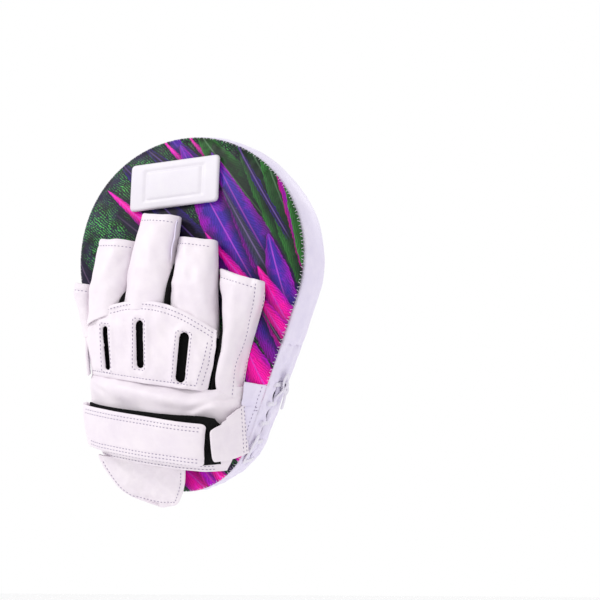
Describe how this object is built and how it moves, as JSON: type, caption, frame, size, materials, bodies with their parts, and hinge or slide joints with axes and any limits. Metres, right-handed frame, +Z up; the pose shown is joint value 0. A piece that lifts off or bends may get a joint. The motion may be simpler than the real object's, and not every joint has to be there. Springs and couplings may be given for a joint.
{
  "type": "focus mitt",
  "caption": "Left-hand boxing focus mitt: curved foam pad with printed leather faces, laced side wall and a leather glove back with finger stalls, vents, wrist strap and cuff flap.",
  "frame": {"origin": "the palm's centre, in the hand pocket between the glove and the pad", "axes": "+Z up along the fingers, +X towards the thumb, +Y out of the strike face; the glove faces -Y"},
  "size_m": [0.1971, 0.0836, 0.2762],
  "materials": {
    "printed_leather": "satin, feather print",
    "white_leather": "satin",
    "foam": "closed-cell foam",
    "black_tape": "matt textile",
    "lace_cord": "flat woven lace"
  },
  "bodies": {
    "pad_and_glove": {"strike_panel": "printed_leather", "back_panel": "printed_leather", "foam_strike_layer": "foam", "foam_core": "foam", "foam_palm_layer": "foam", "side_wall_upper": "white_leather", "side_wall_lower": "white_leather", "badge_patch": "white_leather", "knuckle_panel": "white_leather", "wrist_panel": "white_leather", "wrist_hem_band": "white_leather", "pinky_gusset": "white_leather", "thumb_gusset": "white_leather", "strap_keeper": "white_leather", "strap_loop_tape": "black_tape", "vent_lining": "black_tape", "side_lace": "lace_cord"},
    "pinky": {"pinky_stall": "white_leather"},
    "ring": {"ring_stall": "white_leather"},
    "middle": {"middle_stall": "white_leather"},
    "index": {"index_stall": "white_leather"},
    "thumb": {"thumb_stall": "white_leather"},
    "strap": {"wrist_strap": "white_leather", "strap_hook_tape": "black_tape"},
    "flap": {"cuff_flap": "white_leather"}
  },
  "joints": [
    {"name": "pinky_flex", "type": "hinge", "parent": "pad_and_glove", "child": "pinky", "pos_m": [-0.07654, -0.00343, 0.01999], "axis": [0.989, 0.0023, -0.1478], "range_deg": [0, 20], "stiffness_Nm_per_rad": 0.08},
    {"name": "ring_flex", "type": "hinge", "parent": "pad_and_glove", "child": "ring", "pos_m": [-0.05382, -0.0105, 0.02738], "axis": [0.989, 0.0004, -0.1478], "range_deg": [0, 25], "stiffness_Nm_per_rad": 0.08},
    {"name": "middle_flex", "type": "hinge", "parent": "pad_and_glove", "child": "middle", "pos_m": [-0.01501, -0.01294, 0.03714], "axis": [0.989, -0.002, -0.1478], "range_deg": [0, 25], "stiffness_Nm_per_rad": 0.08},
    {"name": "index_flex", "type": "hinge", "parent": "pad_and_glove", "child": "index", "pos_m": [0.02656, -0.01198, 0.02382], "axis": [0.989, 0.0013, -0.1478], "range_deg": [0, 25], "stiffness_Nm_per_rad": 0.08},
    {"name": "thumb_flex", "type": "hinge", "parent": "pad_and_glove", "child": "thumb", "pos_m": [0.05052, -0.00508, -0.03413], "axis": [0.989, 0.016, -0.1469], "range_deg": [0, 15], "stiffness_Nm_per_rad": 0.08},
    {"name": "strap_open", "type": "hinge", "parent": "pad_and_glove", "child": "strap", "pos_m": [-0.07606, 0.01081, -0.05222], "axis": [-0.1478, 0.1407, -0.979], "range_deg": [0, 100]},
    {"name": "flap_lift", "type": "hinge", "parent": "pad_and_glove", "child": "flap", "pos_m": [-0.02674, 0.00672, -0.08458], "axis": [-0.989, -0.0289, 0.145], "range_deg": [0, 45], "stiffness_Nm_per_rad": 0.05}
  ]
}
